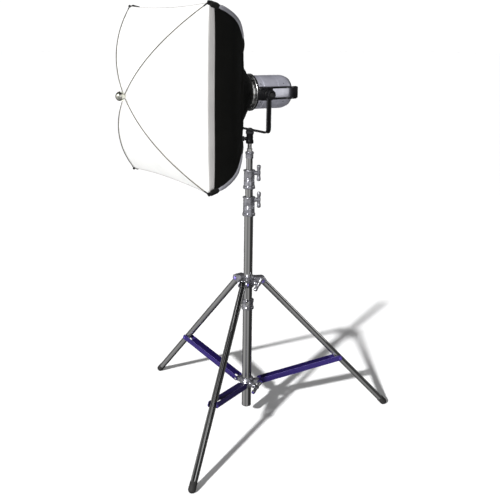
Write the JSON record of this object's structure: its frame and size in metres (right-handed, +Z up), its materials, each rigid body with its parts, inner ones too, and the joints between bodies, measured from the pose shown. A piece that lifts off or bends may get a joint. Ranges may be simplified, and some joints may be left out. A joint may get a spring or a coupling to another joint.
{
  "type": "spotlight on stand",
  "caption": "Round light head in a tilting U yoke with a square dome softbox, on a three-leg braced stand with two risers that folds for carrying.",
  "frame": {"origin": "on the floor under the middle of the whole object's box; the column stands 101 mm to +X and 24 mm to -Y of it", "axes": "+Z up along the column; the light and the softbox face -Y; +X is the right-hand side seen from behind the light"},
  "size_m": [1.0111, 1.1155, 1.6234],
  "materials": {
    "chrome_tube": "polished",
    "cast_metal": "satin",
    "brace_paint": "gloss",
    "rubber": "matte",
    "black_metal": "satin",
    "black_plastic": "matte",
    "silver_housing": "satin",
    "bare_aluminium": "satin",
    "rod_steel": "polished",
    "lens_glass": "clear",
    "led_board": "matte",
    "black_fabric": "woven",
    "white_diffuser": "woven"
  },
  "bodies": {
    "root": {"column_tube": "chrome_tube", "column_collar": "cast_metal", "crown": "cast_metal", "leg_pin_1": "black_metal", "leg_pin_2": "black_metal", "leg_pin_3": "black_metal"},
    "leg_1": {"leg_1": "chrome_tube", "foot_cap_1": "rubber"},
    "leg_2": {"leg_2": "chrome_tube", "foot_cap_2": "rubber"},
    "leg_3": {"leg_3": "chrome_tube", "foot_cap_3": "rubber"},
    "base": {"base_tube": "chrome_tube", "lower_bracket": "cast_metal", "base_clamp": "cast_metal", "base_clamp_screw": "black_metal"},
    "brace_1": {"brace_1": "brace_paint"},
    "brace_2": {"brace_2": "brace_paint"},
    "brace_3": {"brace_3": "brace_paint"},
    "crown_knob": {"crown_knob": "cast_metal"},
    "bracket_knob": {"bracket_knob": "cast_metal"},
    "column_knob": {"column_knob": "cast_metal"},
    "riser_1": {"riser_1_tube": "chrome_tube", "riser_1_collar": "cast_metal"},
    "riser_1_knob": {"riser_1_knob": "cast_metal"},
    "riser_2": {"riser_2_tube": "chrome_tube", "top_cap": "cast_metal", "spigot": "chrome_tube"},
    "yoke": {"receiver": "black_metal", "yoke": "black_metal"},
    "receiver_knob": {"receiver_knob": "black_plastic"},
    "head": {"housing_top": "silver_housing", "housing_bottom": "silver_housing", "side_block_left": "black_plastic", "side_block_right": "black_plastic", "rear_grip": "black_plastic", "rear_panel": "black_plastic", "mount_ring": "bare_aluminium", "fresnel_lens": "lens_glass", "power_inlet": "black_plastic", "speed_ring": "black_metal", "shell_top": "black_fabric", "shell_bottom": "black_fabric", "shell_left": "black_fabric", "shell_right": "black_fabric", "front_diffuser": "white_diffuser", "front_bows": "rod_steel", "back_rod_1": "rod_steel", "back_rod_2": "rod_steel", "back_rod_3": "rod_steel", "back_rod_4": "rod_steel"},
    "tilt_knob_left": {"tilt_knob_left": "black_plastic"},
    "tilt_knob_right": {"tilt_knob_right": "black_plastic"},
    "focus_knob": {"focus_knob": "black_plastic"},
    "lamp": {"led_module": "led_board", "heat_sink": "bare_aluminium"},
    "dimmer_knob": {"dimmer_knob": "black_plastic"},
    "power_switch": {"power_switch": "black_plastic"},
    "fan": {"fan_rotor": "black_plastic"}
  },
  "joints": [
    {"name": "leg_1_fold", "type": "hinge", "parent": "root", "child": "leg_1", "pos_m": [0.13804, -0.06691, 0.5879], "axis": [0.7615, 0.6481, 0], "range_deg": [0, 38.4]},
    {"name": "leg_2_fold", "type": "hinge", "parent": "root", "child": "leg_2", "pos_m": [0.12022, 0.0302, 0.5879], "axis": [-0.9421, 0.3355, 0], "range_deg": [0, 38.42]},
    {"name": "leg_3_fold", "type": "hinge", "parent": "root", "child": "leg_3", "pos_m": [0.04504, -0.03379, 0.5879], "axis": [0.1805, -0.9836, 0], "range_deg": [0, 38.42]},
    {"name": "base_slide", "type": "slide", "parent": "root", "child": "base", "axis": [0, 0, -1], "range_m": [0, 0.4063]},
    {"name": "brace_1_fold", "type": "hinge", "parent": "base", "child": "brace_1", "pos_m": [0.13351, -0.06158, 0.154], "axis": [-0.7615, -0.6481, 0], "range_deg": [0, 69.42]},
    {"name": "brace_2_fold", "type": "hinge", "parent": "base", "child": "brace_2", "pos_m": [0.11787, 0.0236, 0.154], "axis": [0.9421, -0.3355, 0], "range_deg": [0, 69.42]},
    {"name": "brace_3_fold", "type": "hinge", "parent": "base", "child": "brace_3", "pos_m": [0.05192, -0.03253, 0.154], "axis": [-0.1805, 0.9836, 0], "range_deg": [0, 69.42]},
    {"name": "riser_1_slide", "type": "slide", "parent": "root", "child": "riser_1", "axis": [0, 0, 1], "range_m": [0, 0.68]},
    {"name": "riser_2_slide", "type": "slide", "parent": "riser_1", "child": "riser_2", "axis": [0, 0, 1], "range_m": [0, 0.66]},
    {"name": "yoke_pan", "type": "hinge", "parent": "riser_2", "child": "yoke", "pos_m": [0.1011, -0.0235, 1.15], "axis": [0, 0, 1], "continuous": true},
    {"name": "head_tilt", "type": "hinge", "parent": "yoke", "child": "head", "pos_m": [0.1011, -0.0235, 1.32], "axis": [1, 0, 0], "range_deg": [-50, 25]},
    {"name": "crown_knob_turn", "type": "hinge", "parent": "root", "child": "crown_knob", "pos_m": [0.15028, -0.01447, 0.5879], "axis": [0.9836, 0.1805, 0], "range_deg": [-180, 180]},
    {"name": "bracket_knob_turn", "type": "hinge", "parent": "base", "child": "bracket_knob", "pos_m": [0.15028, -0.01447, 0.15], "axis": [0.9836, 0.1805, 0], "range_deg": [-180, 180]},
    {"name": "column_knob_turn", "type": "hinge", "parent": "root", "child": "column_knob", "pos_m": [0.117, 0.00194, 0.914], "axis": [0.5299, 0.848, 0], "range_deg": [-180, 180]},
    {"name": "riser_1_knob_turn", "type": "hinge", "parent": "riser_1", "child": "riser_1_knob", "pos_m": [0.117, 0.00194, 1.018], "axis": [0.5299, 0.848, 0], "range_deg": [-180, 180]},
    {"name": "receiver_knob_turn", "type": "hinge", "parent": "yoke", "child": "receiver_knob", "pos_m": [0.0905, -0.04046, 1.148], "axis": [-0.5299, -0.848, 0], "range_deg": [-180, 180]},
    {"name": "tilt_knob_right_turn", "type": "hinge", "parent": "head", "child": "tilt_knob_right", "pos_m": [0.2411, -0.0235, 1.32], "axis": [1, 0, 0], "range_deg": [-180, 180]},
    {"name": "tilt_knob_left_turn", "type": "hinge", "parent": "head", "child": "tilt_knob_left", "pos_m": [-0.0389, -0.0235, 1.32], "axis": [-1, 0, 0], "range_deg": [-180, 180]},
    {"name": "focus_knob_turn", "type": "hinge", "parent": "head", "child": "focus_knob", "pos_m": [0.0586, 0.1315, 1.326], "axis": [0, 1, 0], "range_deg": [-360.5, 360.5]},
    {"name": "lamp_slide", "type": "slide", "parent": "head", "child": "lamp", "axis": [0, 1, 0], "range_m": [-0.016, 0.016]},
    {"name": "dimmer_knob_turn", "type": "hinge", "parent": "head", "child": "dimmer_knob", "pos_m": [0.1391, 0.1315, 1.326], "axis": [0, 1, 0], "range_deg": [-135, 135]},
    {"name": "power_switch_rock", "type": "hinge", "parent": "head", "child": "power_switch", "pos_m": [0.0801, 0.1235, 1.293], "axis": [1, 0, 0], "range_deg": [-8, 8]},
    {"name": "fan_spin", "type": "hinge", "parent": "head", "child": "fan", "pos_m": [0.1011, 0.1085, 1.32], "axis": [0, 1, 0], "continuous": true}
  ],
  "couplings": [
    {"joint": "leg_2_fold", "follows": "leg_1_fold", "ratio": 1},
    {"joint": "leg_3_fold", "follows": "leg_1_fold", "ratio": 1},
    {"joint": "base_slide", "follows": "leg_1_fold", "m_per_rad": 0.60593},
    {"joint": "brace_1_fold", "follows": "leg_1_fold", "ratio": 1.8072},
    {"joint": "brace_2_fold", "follows": "leg_1_fold", "ratio": 1.8072},
    {"joint": "brace_3_fold", "follows": "leg_1_fold", "ratio": 1.8072},
    {"joint": "focus_knob_turn", "follows": "lamp_slide", "rad_per_m": 392.7}
  ]
}
